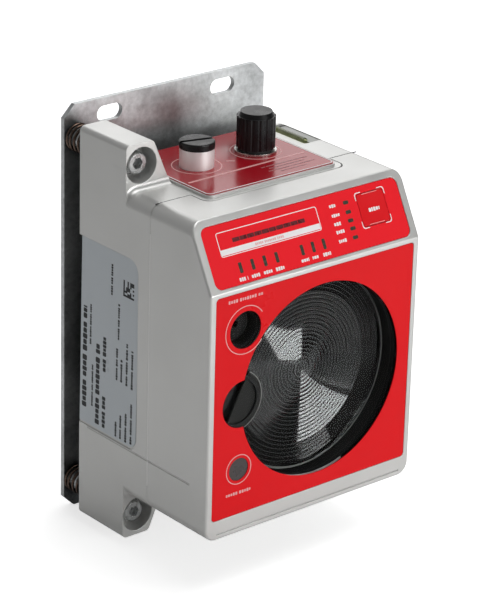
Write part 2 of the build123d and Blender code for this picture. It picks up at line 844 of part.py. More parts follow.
# What looks out through the tubes, and the receiver's diode at the barrel's throat
with BuildPart() as emitter_lens:
    with BuildSketch(radial_plane(emitter_x, y_emitter_lens, lens_z)):
        with BuildLine():
            Line((0, 0), (emitter_bore_r, 0))
            Line((emitter_bore_r, 0), (emitter_bore_r, -emitter_lens_t))
            ThreePointArc(
                (emitter_bore_r, -emitter_lens_t),
                (emitter_dome_r * sin(half_dome), -emitter_lens_t - emitter_lens_up + dome_fall),
                (0, -emitter_lens_t - emitter_lens_up),
            )
            Line((0, -emitter_lens_t - emitter_lens_up), (0, 0))
        make_face()
    revolve(axis=Axis((emitter_x, y_emitter_lens, lens_z), (0, 1, 0)))
save(emitter_lens, "emitter_lens")

with BuildPart() as emitter_diode:
    with BuildSketch(front_plane(y_emitter_floor)):
        with Locations((emitter_x, lens_z)):
            Circle(diode_r)
    extrude(amount=diode_len)
save(emitter_diode, "emitter_diode")

with BuildPart() as laser_pointer:
    with BuildSketch(front_plane(y_pointer_front + pointer_module_len)):
        with Locations((pointer_x, pointer_z)):
            Circle(pointer_bore_r)
    extrude(amount=pointer_module_len)
    with BuildSketch(front_plane(y_pointer_front)):
        with Locations((pointer_x, pointer_z)):
            Circle(pointer_eye_r)
    extrude(amount=-pointer_module_len / 2, mode=Mode.SUBTRACT)
    chamfer(laser_pointer.faces().sort_by(Axis.Y)[0].outer_wire().edges(), length=pointer_eye_r / 2)
save(laser_pointer, "laser_pointer")

with BuildPart() as status_led:
    with BuildSketch(front_plane(y_led_floor)):
        with Locations((led_x, led_z)):
            Circle(led_r_inner)
    extrude(amount=led_bulb_len)
    fillet(status_led.faces().sort_by(Axis.Y)[0].edges(), radius=led_r_inner * 0.8)
save(status_led, "status_led")

with BuildPart() as receiver_diode:
    with BuildSketch(front_plane(y_board - board_t)):
        with Locations((lens_x, lens_z)):
            Circle(receiver_r)
    extrude(amount=receiver_len)
save(receiver_diode, "receiver_diode")

with BuildPart() as carrier_screws:
    for x, z in corners:
        with BuildSketch(front_plane(y_wall_in + flange_t)):
            with Locations((x * flange_screw_x, pane_z + z * flange_screw_z)):
                Circle(2 * flange_screw_r)
        extrude(amount=-flange_t)
        with BuildSketch(front_plane(y_wall_in + flange_t)):
            with Locations((x * flange_screw_x, pane_z + z * flange_screw_z)):
                Circle(flange_screw_r)
        extrude(amount=flange_t)
save(carrier_screws, "carrier_screws")

# Main board on its standoffs, with its capacitors, coils, chips and plug headers
with BuildPart() as main_board:
    with BuildSketch(front_plane(y_board)):
        Rectangle(main_board_w, main_board_h)
    extrude(amount=board_t)
save(main_board, "main_board")

with BuildPart() as board_components:
    for x, z, radius, height in board_cans:
        with BuildSketch(front_plane(y_board)):
            with Locations((x, z)):
                Circle(radius)
        extrude(amount=-height)
    for x, z, width, height, thick in board_blocks:
        with BuildSketch(front_plane(y_board)):
            with Locations((x, z)):
                Rectangle(width, height)
        extrude(amount=-thick)
save(board_components, "board_components")

# Spirit level: a cradle on the pocket's floor with the vial in its groove
with BuildPart() as level_cradle:
    with BuildSketch(Plane.XY.offset(half_h - level_pocket_deep)):
        with Locations((level_pocket_x, y_level)):
            Rectangle(level_pocket_w - 2 * part_gap, level_pocket_len - 2 * level_pocket_r)
    extrude(amount=cradle_t + vial_r)
    with BuildSketch(front_plane(y_level)):
        with Locations((vial_x, z_vial)):
            Circle(vial_r)
    extrude(amount=level_pocket_len, both=True, mode=Mode.SUBTRACT)
save(level_cradle, "level_cradle")

with BuildPart() as level_vial:
    with BuildSketch(front_plane(y_level + vial_len / 2)):
        with Locations((vial_x, z_vial)):
            Circle(vial_r)
    extrude(amount=vial_len)
    chamfer(level_vial.faces().filter_by(Axis.Y).edges(), length=vial_r / 4)
save(level_vial, "level_vial")

# Labels: the type label in its pocket and the connector label on the deck
with BuildPart() as type_label:
    with BuildSketch(label_plane(0)) as label_face:
        Rectangle(label_w, label_h)
        front_corners = label_face.vertices().group_by(Axis.X)[-1]
        fillet(front_corners, radius=label_r - pocket_margin)
    extrude(amount=label_t)
save(type_label, "type_label")

with BuildPart() as connector_label:
    with BuildSketch(Plane.XY.offset(z_deck)):
        with Locations((deck_x, y_pad)):
            RectangleRounded(pad_w - 2 * deck_label_in, pad_len - 2 * deck_label_in, deck_r - pad_in)
        with Locations((deck_x, y_rear - deck_label_in / 2 - pad_len / 4)):
            Rectangle(pad_w - 2 * deck_label_in, pad_len / 2)
        with Locations((bus_x, y_connector)):
            Circle(sleeve_r, mode=Mode.SUBTRACT)
        with Locations((power_x, y_connector)):
            Circle(post_r, mode=Mode.SUBTRACT)
    extrude(amount=deck_label_t)
save(connector_label, "connector_label")

# Bus socket: a plain sleeve through the deck, its insert with the contact holes, and its nut inside
with BuildPart() as bus_socket:
    with BuildSketch(Plane.XY.offset(z_label + sleeve_up)):
        with Locations((bus_x, y_connector)):
            Circle(sleeve_r)
    extrude(amount=-(sleeve_up + sleeve_down))
    with BuildSketch(Plane.XY.offset(z_label + sleeve_up)):
        with Locations((bus_x, y_connector)):
            Circle(sleeve_bore_r)
    extrude(amount=-(sleeve_up + sleeve_down), mode=Mode.SUBTRACT)
save(bus_socket, "bus_socket")

with BuildPart() as bus_insert:
    with BuildSketch(Plane.XY.offset(z_label - sleeve_down)):
        with Locations((bus_x, y_connector)):
            Circle(sleeve_bore_r)
    extrude(amount=sleeve_down + insert_up)
    with BuildSketch(Plane.XY.offset(z_label + insert_up)):
        with Locations((bus_x, y_connector)):
            with PolarLocations(pin_circle_r, pins):
                Circle(pin_r)
    extrude(amount=-sleeve_down / 2, mode=Mode.SUBTRACT)
save(bus_insert, "bus_insert")


def lock_nut(name, x, bore):
    """A thin hexagon nut against the underside of the top wall."""
    with BuildPart() as nut:
        with BuildSketch(Plane.XY.offset(half_h - wall)):
            with Locations((x, y_connector)):
                RegularPolygon(nut_af / 2, 6, major_radius=False)
                Circle(bore, mode=Mode.SUBTRACT)
        extrude(amount=-nut_t)
    save(nut, name)


lock_nut("bus_lock_nut", bus_x, sleeve_r)
lock_nut("power_lock_nut", power_x, post_r)

# Closing plug of the bus socket: a slotted head on a threaded shank, and the ring under the head
with BuildPart() as bus_plug:
    with BuildSketch(Plane.XY.offset(z_plug)):
        with Locations((bus_x, y_connector)):
            Circle(plug_head_r)
    extrude(amount=plug_head_h)
    fillet(bus_plug.faces().sort_by(Axis.Z)[-1].edges(), radius=slot_cut_d / 2)
    with BuildSketch(Plane.XY.offset(z_plug)):
        with Locations((bus_x, y_connector)):
            Circle(plug_shank_r)
    extrude(amount=-plug_shank_len)
    with BuildSketch(Plane.XY.offset(z_plug)):
        with Locations((bus_x, y_connector)):
            Circle(ring_mid_r + ring_r)
            Circle(plug_shank_r, mode=Mode.SUBTRACT)
    extrude(amount=2 * ring_r, mode=Mode.SUBTRACT)
    with BuildSketch(Plane.XY.offset(z_plug + plug_head_h)):
        with Locations((bus_x, y_connector)):
            Rectangle(3 * plug_head_r, slot_cut_w, rotation=slot_turn)
    extrude(amount=-slot_cut_d, mode=Mode.SUBTRACT)
save(bus_plug, "bus_plug")

with BuildPart() as plug_ring:
    with BuildSketch(Plane(origin=(bus_x, y_connector, z_plug), x_dir=(1, 0, 0), z_dir=(0, -1, 0))):
        with Locations((ring_mid_r, ring_r)):
            Circle(ring_r - ring_gap)
    revolve(axis=Axis((bus_x, y_connector, 0), (0, 0, 1)))
save(plug_ring, "plug_ring")

# Power connector: a threaded post with a flange on the deck, its insert with pins, and its nut inside
with BuildPart() as power_post:
    with BuildSketch(Plane.XY.offset(z_label + post_up)):
        with Locations((power_x, y_connector)):
            Circle(post_r)
    extrude(amount=-(post_up + sleeve_down))
    with BuildSketch(Plane.XY.offset(z_label)):
        with Locations((power_x, y_connector)):
            Circle(post_flange_r)
    extrude(amount=post_flange_t)
    with BuildSketch(Plane.XY.offset(z_label + post_up)):
        with Locations((power_x, y_connector)):
            Circle(post_bore_r)
    extrude(amount=-(post_up + sleeve_down), mode=Mode.SUBTRACT)
save(power_post, "power_post")

with BuildPart() as power_insert:
    with BuildSketch(Plane.XY.offset(z_label - sleeve_down)):
        with Locations((power_x, y_connector)):
            Circle(post_bore_r)
    extrude(amount=sleeve_down + insert_up)
    with BuildSketch(Plane.XY.offset(z_label + insert_up)):
        with Locations((power_x, y_connector)):
            with PolarLocations(pin_circle_r, pins - 1):
                Circle(pin_r, mode=Mode.ADD)
    extrude(amount=-(sleeve_down / 2), mode=Mode.SUBTRACT)
save(power_insert, "power_insert")

with BuildPart() as power_pins:
    with BuildSketch(Plane.XY.offset(z_label + insert_up - sleeve_down / 2)):
        with Locations((power_x, y_connector)):
            with PolarLocations(pin_circle_r, pins - 1):
                Circle(pin_r)
    extrude(amount=sleeve_down / 2 + post_up - insert_up - 2 * pin_r)
save(power_pins, "power_pins")

# Protective cap of the power connector: a tall fluted cap, and the flat ring it is screwed down on
with BuildPart() as power_cap:
    with BuildSketch(Plane.XY.offset(z_cap)):
        with Locations((power_x, y_connector)):
            Circle(cap_r)
            with PolarLocations(cap_r + cap_flute_r / 2, cap_flutes):
                Circle(cap_flute_r, mode=Mode.SUBTRACT)
    extrude(amount=cap_h - cap_taper)
    with BuildSketch(Plane.XY.offset(z_cap + cap_h - cap_taper)) as cap_shoulder:
        with Locations((power_x, y_connector)):
            Circle(cap_r - cap_flute_r)
    with BuildSketch(Plane.XY.offset(z_cap + cap_h)):
        with Locations((power_x, y_connector)):
            Circle(cap_top_r)
    loft()
    with BuildSketch(Plane.XY.offset(z_cap)):
        with Locations((power_x, y_connector)):
            Circle(post_r + cap_bore_gap)
    extrude(amount=z_label + post_up + cap_bore_gap - z_cap, mode=Mode.SUBTRACT)
save(power_cap, "power_cap")

with BuildPart() as cap_seal:
    with BuildSketch(Plane.XY.offset(z_label + post_flange_t + ring_gap)):
        with Locations((power_x, y_connector)):
            Circle(cap_r - cap_flute_r)
            Circle(post_r + cap_bore_gap, mode=Mode.SUBTRACT)
    extrude(amount=cap_seal_t)
save(cap_seal, "cap_seal")


def alignment_screw(name, x, z, tip):
    """A socket head screw that sits in an ear's recess and reaches into its insert on the plate."""
    y_head = y_ear + head_deep
    y_under = y_head + head_h
    with BuildPart() as screw:
        with BuildSketch(front_plane(y_under)):
            with Locations((x, z)):
                Circle(head_r)
        extrude(amount=head_h)
        chamfer(screw.faces().sort_by(Axis.Y)[0].edges(), length=head_edge)
        with BuildSketch(front_plane(-tip)):
            with Locations((x, z)):
                Circle(screw_r)
        extrude(amount=-tip - y_under)
        with BuildSketch(front_plane(y_head)):
            with Locations((x, z)):
                RegularPolygon(socket_r, 6)
        extrude(amount=-socket_deep, mode=Mode.SUBTRACT)
    save(screw, name)


alignment_screw("top_screw", -screw_x, screw_z, screw_tip)
alignment_screw("pivot_screw", -screw_x, -screw_z, pivot_tip)
alignment_screw("side_screw", screw_x, -screw_z, screw_tip)

# Washers under the heads
with BuildPart() as screw_washers:
    with BuildSketch(front_plane(y_washer)):
        with Locations(*[(x * screw_x, z * screw_z) for x, z in ear_places]):
            Circle(washer_r)
        with Locations((-screw_x, screw_z), (screw_x, -screw_z)):
            Circle(screw_r + bore_gap, mode=Mode.SUBTRACT)
        with Locations((-screw_x, -screw_z)):
            Circle(screw_r + pivot_bore_gap, mode=Mode.SUBTRACT)
    extrude(amount=washer_t - seat_gap)
save(screw_washers, "screw_washers")


def spring(name, x, z):
    """A compression spring between the plate and an ear, round the screw and its insert."""
    length = gap + spring_seat_deep - 2 * spring_wire_r
    with BuildPart() as coil:
        with BuildLine() as path:
            Helix(
                length / spring_turns,
                length,
                spring_r,
                center=(x, y_plate - spring_wire_r, z),
                direction=(0, -1, 0),
            )
        start = Plane(origin=path.line @ 0, z_dir=path.line % 0)
        with BuildSketch(start):
            RegularPolygon(spring_wire_r, wire_sides)
        sweep(is_frenet=True)
    save(coil, name)


spring("top_spring", -screw_x, screw_z)
spring("pivot_spring", -screw_x, -screw_z)
spring("side_spring", screw_x, -screw_z)
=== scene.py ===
from math import atan2, cos, exp, pi, radians, sin, tan

import bmesh
import bpy
from mathutils import Matrix, Vector


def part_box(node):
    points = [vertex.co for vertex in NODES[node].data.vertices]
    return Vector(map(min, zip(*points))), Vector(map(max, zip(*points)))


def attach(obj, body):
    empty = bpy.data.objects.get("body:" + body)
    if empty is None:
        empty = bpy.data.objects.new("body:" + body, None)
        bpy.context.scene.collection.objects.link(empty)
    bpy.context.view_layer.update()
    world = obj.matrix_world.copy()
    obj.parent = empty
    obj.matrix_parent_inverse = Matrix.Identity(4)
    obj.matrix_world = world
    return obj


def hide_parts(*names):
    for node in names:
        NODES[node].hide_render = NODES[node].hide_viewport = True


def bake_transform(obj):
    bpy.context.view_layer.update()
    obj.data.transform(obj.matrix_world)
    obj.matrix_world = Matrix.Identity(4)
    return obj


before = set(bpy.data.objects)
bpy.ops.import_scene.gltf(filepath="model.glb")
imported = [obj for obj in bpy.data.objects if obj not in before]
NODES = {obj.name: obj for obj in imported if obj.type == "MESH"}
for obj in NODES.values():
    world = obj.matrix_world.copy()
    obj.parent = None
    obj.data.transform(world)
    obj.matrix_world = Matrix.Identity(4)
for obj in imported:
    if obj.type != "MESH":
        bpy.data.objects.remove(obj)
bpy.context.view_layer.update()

MM = 0.001
scene = bpy.context.scene

# Places of the part, in millimetres, as in its source
HALF_W = 50.0
Y_HOOD = -91.2
Y_PRINT = -91.1
Y_SEAM = -56.4
Z_TOP = 60.6
Z_KNEE = 36.6
Z_DECK = 61.8
RIB_Z = -40.2
RIB_Y = -50.4
RIB_LENGTH = 62.0
LEAN = atan2(12.7, 24.0)
FOIL_SUNK = 0.2
LENS = (3.5, -8.7)
EMITTER_RIM = (-34.4, -8.9)
POINTER = (-33.4, 20.1)
LED = (-35.0, -34.6)
BUS = (-12.7, -36.2)
POWER = (15.6, -36.2)

# Colours and materials

BORE_BLACK = (0.004, 0.004, 0.004, 1)
# Painted shade: the colour that gaps are darkened towards.
GAP_SHADE_BLACK = (0.008, 0.010, 0.012, 1)


def scaled(colour, factor):
    return tuple(min(1.0, c * factor) for c in colour[:3]) + (1.0,)


class Graph:
    """A short way to add and link nodes. What is fed to a socket is a plain value or a node's output."""

    def __init__(self, tree):
        self.tree = tree

    def node(self, kind, **settings):
        made = self.tree.nodes.new("ShaderNode" + kind)
        for key, value in settings.items():
            setattr(made, key, value)
        return made

    def feed(self, socket, value):
        if isinstance(value, bpy.types.NodeSocket):
            self.tree.links.new(value, socket)
        else:
            socket.default_value = value

    def math(self, operation, *values, **settings):
        made = self.node("Math", operation=operation, **settings)
        for socket, value in zip(made.inputs, values):
            self.feed(socket, value)
        return made.outputs[0]

    def mix(self, factor, first, second):
        made = self.node("Mix", data_type="RGBA")
        self.feed(made.inputs[0], factor)
        self.feed(made.inputs[6], first)
        self.feed(made.inputs[7], second)
        return made.outputs[2]

    def mix_shaders(self, factor, first, second):
        made = self.node("MixShader")
        self.feed(made.inputs[0], factor)
        self.feed(made.inputs[1], first.outputs[0])
        self.feed(made.inputs[2], second.outputs[0])
        return made.outputs[0]

    def mapped(self, value, low, high, to_low=0.0, to_high=1.0, **settings):
        made = self.node("MapRange", **settings)
        self.feed(made.inputs["Value"], value)
        for socket, bound in (("From Min", low), ("From Max", high), ("To Min", to_low), ("To Max", to_high)):
            self.feed(made.inputs[socket], bound)
        return made.outputs["Result"]

    def noise(self, where, scale, detail, roughness=0.5):
        made = self.node("TexNoise")
        self.feed(made.inputs["Vector"], where)
        self.feed(made.inputs["Scale"], scale)
        self.feed(made.inputs["Detail"], detail)
        self.feed(made.inputs["Roughness"], roughness)
        return made.outputs["Fac"]

    def relief(self, height, strength, depth, normal=None):
        """Bumps of a height and strength, up to a depth in millimetres."""
        made = self.node("Bump")
        self.feed(made.inputs["Height"], height)
        self.feed(made.inputs["Strength"], strength)
        self.feed(made.inputs["Distance"], depth * MM)
        if normal:
            self.feed(made.inputs["Normal"], normal)
        return made.outputs["Normal"]


def new_material(name):
    """A new material, its graph and its shader."""
    mat = bpy.data.materials.new(name)
    mat.use_nodes = True
    return mat, Graph(mat.node_tree), mat.node_tree.nodes["Principled BSDF"]


def worn(g, base, edge_colour, share):
    """The colour base, with some of edge_colour on sharp edges."""
    pointed = g.node("NewGeometry").outputs["Pointiness"]
    return g.mix(g.mapped(pointed, 0.52, 0.62, 0.0, share), base, edge_colour)


def painted_ring_glints(g, base, place, cloud, middle, step, plain, tone):
    """The colour base, with fine rings of painted highlight about a middle in X and Z: the share plain of
    each step has none.
    """
    flat = g.node("VectorMath", operation="MULTIPLY_ADD")
    g.feed(flat.inputs[0], place)
    g.feed(flat.inputs[1], (1.0 / (step * MM), 0.0, 1.0 / (step * MM)))
    g.feed(flat.inputs[2], (-middle[0] / step, 0.0, -middle[1] / step))
    away = g.node("VectorMath", operation="LENGTH")
    g.feed(away.inputs[0], flat.outputs["Vector"])
    drawn = g.math("GREATER_THAN", g.math("FRACT", away.outputs["Value"]), plain)
    return g.mix(g.math("MULTIPLY", drawn, cloud), base, (tone, tone, tone, 1))


def blackened(g, base, place, low, high):
    """The colour base, but black between two corners in metres."""
    axes = g.node("SeparateXYZ")
    g.feed(axes.inputs[0], place)
    inside = 1.0
    for axis in range(3):
        for operation, bound in (("GREATER_THAN", low[axis]), ("LESS_THAN", high[axis])):
            inside = g.math("MULTIPLY", inside, g.math(operation, axes.outputs[axis], bound))
    return g.mix(inside, base, BORE_BLACK)


def painted_gap_shade(g, base, reach):
    """The colour base, with painted shade in gaps as narrow as the reach in millimetres: an ambient occlusion
    node darkens it towards black where other surfaces are near.
    """
    gap = g.node("AmbientOcclusion", samples=8)
    g.feed(gap.inputs["Distance"], reach * MM)
    return g.mix(g.mapped(gap.outputs["AO"], 0.25, 0.75), GAP_SHADE_BLACK, base)


def surface(name, colour, rough=0.45, metal=0.0, vary=0.05, patch=60.0, grain=2500.0, bump=0.08, depth=0.05,
            rough_vary=0.08, edge=0.25, edge_tone=1.25, round_r=0.25, coat=0.0, specular=0.5, stretch=None,
            dark_box=None, rings=None, gap_shade_reach=0.0, contrast=1.0):
    """A material of one kind of surface. Its colour varies by vary in soft patches and in a fine grain, its
    roughness varies too, and its edges are rounded by round_r millimetres and a little worn. dark_box gives
    two corners to blacken between, and rings the rings of painted highlight. A reach in millimetres paints
    shade into gaps. contrast makes the patches stronger, and stretch draws them out."""
    mat, g, shader = new_material(name)
    for socket, value in (("Metallic", metal), ("Specular IOR Level", specular), ("Coat Weight", coat),
                          ("Coat Roughness", 0.05)):
        g.feed(shader.inputs[socket], value)
    place = g.node("TexCoord").outputs["Object"]
    where = place
    if stretch:
        mapping = g.node("Mapping")
        g.feed(mapping.inputs["Vector"], place)
        g.feed(mapping.inputs["Scale"], stretch)
        where = mapping.outputs["Vector"]
    cloud = g.noise(where, patch, 5.0, 0.6)
    fine = g.noise(where, grain, 3.0, 0.65)
    blend = g.math("MULTIPLY_ADD", cloud, 0.6, g.math("MULTIPLY", fine, 0.4))
    blend = g.math("MULTIPLY_ADD", blend, contrast, 0.5 - 0.5 * contrast, use_clamp=True)
    shown = g.mix(blend, scaled(colour, 1.0 - vary), scaled(colour, 1.0 + vary))
    if edge > 0:
        shown = worn(g, shown, scaled(colour, edge_tone), edge)
    # Painted highlights: pale lines along the lens rings.
    if rings:
        shown = painted_ring_glints(g, shown, place, cloud, *rings)
    if dark_box:
        shown = blackened(g, shown, place, *dark_box)
    # Painted shade: darker in gaps where other surfaces are near.
    if gap_shade_reach > 0:
        shown = painted_gap_shade(g, shown, gap_shade_reach)
    g.feed(shader.inputs["Base Color"], shown)
    sheen = g.mapped(cloud, 0.3, 0.7, max(0.02, rough - rough_vary), min(1.0, rough + rough_vary))
    g.feed(shader.inputs["Roughness"], sheen)
    rounded_normal = None
    if round_r > 0:
        bevel = g.node("Bevel", samples=6)
        g.feed(bevel.inputs["Radius"], round_r * MM)
        rounded_normal = bevel.outputs["Normal"]
    g.feed(shader.inputs["Normal"], g.relief(fine, bump, depth, rounded_normal))
    return mat


def clear(name, colour, rough=0.02, ior=1.49, bump=0.03):
    """Clear glass or plastic. Light for what lies behind it passes straight through."""
    mat, g, shader = new_material(name)
    g.feed(shader.inputs["IOR"], ior)
    g.feed(shader.inputs["Transmission Weight"], 1.0)
    cloud = g.noise(g.node("TexCoord").outputs["Object"], 900.0, 3.0)
    g.feed(shader.inputs["Base Color"], g.mix(cloud, scaled(colour, 0.97), scaled(colour, 1.03)))
    g.feed(shader.inputs["Roughness"], g.mapped(cloud, 0.0, 1.0, rough * 0.7, rough * 1.3))
    g.feed(shader.inputs["Normal"], g.relief(cloud, bump, 0.02))
    path = g.node("LightPath")
    open_to = g.math("MAXIMUM", path.outputs["Is Shadow Ray"], path.outputs["Is Glossy Ray"])
    pass_by = g.node("BsdfTransparent")
    g.feed(pass_by.inputs["Color"], scaled(colour, 0.9))
    g.feed(mat.node_tree.nodes["Material Output"].inputs["Surface"], g.mix_shaders(open_to, shader, pass_by))
    return mat


PAINT = surface("silver_paint", (0.65, 0.65, 0.635, 1), rough=0.37, metal=0.58, vary=0.03, patch=45,
                grain=3200, bump=0.10, depth=0.03, round_r=0.35, edge=0.25, edge_tone=1.12,
                dark_box=((-0.0445, -0.0889, -0.0525), (0.0445, -0.0700, 0.0352)))
RED_PRINT = surface("red_print", (0.74, 0.005, 0.009, 1), rough=0.34, vary=0.02, patch=20, grain=4000,
                    bump=0.02, depth=0.01, round_r=0.1, edge=0.0, specular=0.15)
RED_FOIL = surface("red_foil", (0.78, 0.012, 0.020, 1), rough=0.45, vary=0.025, patch=20, grain=5000,
                   bump=0.08, depth=0.02, round_r=0.15, edge=0.15, edge_tone=1.1, specular=0.15)
KEY_FOIL = surface("key_foil", (0.62, 0.005, 0.009, 1), rough=0.42, vary=0.08, patch=60, grain=5000,
                   bump=0.10, depth=0.02, round_r=0.3, edge=0.3, edge_tone=1.3, specular=0.25)
DECK_FILM = surface("deck_film", (0.36, 0.006, 0.014, 1), rough=0.19, vary=0.05, patch=30, grain=3000,
                    bump=0.02, depth=0.01, round_r=0.15, edge=0.0, specular=0.6)
# The plate gets painted shade in the gap behind the housing.
ZINC = surface("galvanised_sheet", (0.56, 0.575, 0.58, 1), rough=0.40, metal=0.86, vary=0.40, patch=42,
               grain=420, bump=0.08, depth=0.05, rough_vary=0.14, round_r=0.2, edge=0.0, gap_shade_reach=22,
               contrast=2.6)
STEEL = surface("turned_steel", (0.55, 0.56, 0.56, 1), rough=0.28, metal=1.0, vary=0.08, patch=250,
                grain=2200, bump=0.10, depth=0.03, round_r=0.15, stretch=(1.0, 4.0, 1.0))
NICKEL = surface("nickel_steel", (0.60, 0.59, 0.56, 1), rough=0.26, metal=1.0, vary=0.06, patch=200,
                 grain=1800, bump=0.08, depth=0.02, round_r=0.15)
ALUMINIUM = surface("matt_aluminium", (0.90, 0.90, 0.89, 1), rough=0.46, metal=0.45, vary=0.03, patch=220,
                    grain=2600, bump=0.10, depth=0.02, round_r=0.2, stretch=(1.0, 1.0, 3.0))
# The springs get painted shade between their coils.
COPPERY = surface("spring_steel", (0.13, 0.088, 0.068, 1), rough=0.22, metal=1.0, vary=0.2, patch=300,
                  grain=1500, bump=0.15, depth=0.03, round_r=0.0, gap_shade_reach=14)
GOLD = surface("contact_gold", (0.80, 0.60, 0.24, 1), rough=0.2, metal=1.0, vary=0.05, patch=400,
               grain=2500, bump=0.05, depth=0.01, round_r=0.1)
BLACK = surface("satin_black", (0.005, 0.005, 0.0055, 1), rough=0.30, specular=0.3, vary=0.2, patch=150,
                grain=3500, bump=0.08, depth=0.02, round_r=0.2, edge=0.3, edge_tone=3.0)
BARREL = surface("carrier_black", (0.006, 0.006, 0.006, 1), rough=0.55, vary=0.2, patch=80, grain=2500,
                 bump=0.1, depth=0.03, round_r=0.15, edge=0.2, edge_tone=2.0, specular=0.3)
RUBBER = surface("seal_rubber", (0.02, 0.02, 0.02, 1), rough=0.75, vary=0.15, patch=200, grain=3000,
                 bump=0.2, depth=0.04, round_r=0.1)
BOARD = surface("circuit_board", (0.012, 0.10, 0.045, 1), rough=0.35, vary=0.25, patch=500, grain=2600,
                bump=0.15, depth=0.03, round_r=0.1, coat=0.4)
PARTS = surface("component_black", (0.03, 0.03, 0.032, 1), rough=0.5, vary=0.2, patch=300, grain=3000,
                bump=0.15, depth=0.03, round_r=0.15, edge=0.3, edge_tone=2.0)
LABEL = surface("label_film", (0.61, 0.655, 0.69, 1), rough=0.34, vary=0.03, patch=40, grain=5200,
                bump=0.06, depth=0.015, round_r=0.1, edge=0.2, edge_tone=1.2, specular=0.4)
LEVEL_WHITE = surface("level_white", (0.36, 0.37, 0.35, 1), rough=0.35, vary=0.05, patch=150, grain=3000,
                      bump=0.1, depth=0.02, round_r=0.2)
WHITE_INK = surface("white_ink", (0.80, 0.78, 0.78, 1), rough=0.5, vary=0.03, patch=400, grain=6000,
                    bump=0.1, depth=0.01, round_r=0.0, edge=0.0, specular=0.2)
PINK_INK = surface("pale_ink", (0.78, 0.42, 0.42, 1), rough=0.5, vary=0.06, patch=400, grain=6000, bump=0.1,
                   depth=0.01, round_r=0.0, edge=0.0, specular=0.2)
DULL_INK = surface("dull_ink", (0.42, 0.17, 0.18, 1), rough=0.4, vary=0.2, patch=300, grain=5000, bump=0.1,
                   depth=0.01, round_r=0.0, edge=0.0, specular=0.3)
# Black print on the label, also painted as shade into the seam on the top.
INK_AND_SEAM_SHADE = surface("dark_ink_and_painted_shade", (0.025, 0.027, 0.03, 1), rough=0.4, vary=0.15, patch=400, grain=6000,
                    bump=0.1, depth=0.01, round_r=0.0, edge=0.0, specular=0.3)
DARK_WINDOW = surface("dark_window", (0.055, 0.055, 0.042, 1), rough=0.25, vary=0.45, patch=900, grain=5000,
                      bump=0.05, depth=0.01, round_r=0.1, edge=0.0, specular=0.3)
SEGMENTS = surface("segment_window", (0.12, 0.022, 0.026, 1), rough=0.3, vary=0.55, patch=520, grain=4200,
                   bump=0.05, depth=0.01, round_r=0.1, edge=0.0, specular=0.3)
SMOKED = surface("smoked_disc", (0.050, 0.044, 0.044, 1), rough=0.32, vary=0.12, patch=180, grain=4000,
                 bump=0.05, depth=0.01, round_r=0.2, edge=0.2, edge_tone=1.8, specular=0.4)
EYE = surface("emitter_disc", (0.004, 0.004, 0.004, 1), rough=0.10, rough_vary=0.02, vary=0.12, patch=60,
              grain=900, bump=0.0, depth=0.01, round_r=0.0, edge=0.0, specular=0.5)
RIM = surface("emitter_rim", (0.012, 0.012, 0.011, 1), rough=0.5, vary=0.15, patch=120, grain=3000,
              bump=0.05, depth=0.02, round_r=0.1, edge=0.0, specular=0.2)
# Pale grey painted as highlights on the edges of the emitter rim and the lens.
EDGE_HIGHLIGHT = surface("lens_edge", (0.16, 0.16, 0.155, 1), rough=0.4, vary=0.35, patch=90, grain=3000,
                   bump=0.05, depth=0.02, round_r=0.0, edge=0.0, specular=0.4)
# The lens rings carry painted highlight lines, pale on the black.
LENS_DARK = surface("lens_rings", (0.005, 0.005, 0.005, 1), rough=0.06, vary=0.25, patch=35, grain=1200,
                    bump=0.0, depth=0.01, rough_vary=0.02, round_r=0.0, edge=0.0, specular=1.0,
                    rings=(LENS, 1.5958, 0.87, 0.10))
# Pale strips painted as highlights in the seam and in the moulded line.
SEAM_HIGHLIGHT = surface("painted_seam_highlight", (0.84, 0.84, 0.83, 1), rough=0.35, metal=0.3, vary=0.10, patch=90,
                    grain=3000, bump=0.05, depth=0.01, round_r=0.0, edge=0.0)
# A pale sliver painted as a highlight on the lower edge of the large window.
GLINT = surface("painted_window_glint", (0.40, 0.38, 0.37, 1), rough=0.35, vary=0.25, patch=120, grain=3000,
                bump=0.05, depth=0.01, round_r=0.0, edge=0.0)
GLASS = clear("front_glass", (0.97, 0.98, 0.98, 1), rough=0.0, bump=0.0, ior=1.10)
LIQUID = clear("level_liquid", (0.80, 0.83, 0.56, 1), rough=0.02, ior=1.4)
GUIDE = clear("light_guide", (0.8, 0.8, 0.8, 1), rough=0.1)

MATERIALS = {
    "mounting_plate": ZINC, "top_insert": STEEL, "pivot_insert": STEEL, "side_insert": STEEL,
    "rear_housing": PAINT, "front_hood": PAINT, "housing_seal": RUBBER, "joint_screws": STEEL,
    "front_pane": GLASS, "front_print": RED_PRINT, "control_foil": RED_FOIL, "mode_key": KEY_FOIL,
    "display_board": BOARD, "key_switch": PARTS, "light_guides": GUIDE, "display_bar": SEGMENTS,
    "optics_carrier": BARREL, "receiving_lens": LENS_DARK, "emitter_lens": EYE, "emitter_diode": PARTS,
    "laser_pointer": BARREL, "status_led": SMOKED, "receiver_diode": PARTS, "carrier_screws": STEEL,
    "main_board": BOARD, "board_components": PARTS, "level_cradle": LEVEL_WHITE, "level_vial": LIQUID,
    "type_label": LABEL, "connector_label": DECK_FILM, "bus_socket": ALUMINIUM, "bus_insert": BLACK,
    "bus_lock_nut": NICKEL, "bus_plug": BLACK, "plug_ring": RUBBER, "power_post": NICKEL,
    "power_insert": BLACK, "power_lock_nut": NICKEL, "power_pins": GOLD, "power_cap": BLACK,
    "cap_seal": RUBBER, "top_screw": STEEL, "pivot_screw": STEEL, "side_screw": STEEL,
    "screw_washers": STEEL, "top_spring": COPPERY, "pivot_spring": COPPERY, "side_spring": COPPERY,
}
for node_name, node in NODES.items():
    node.data.materials.clear()
    node.data.materials.append(MATERIALS[node_name])


# Flat prints and other shapes

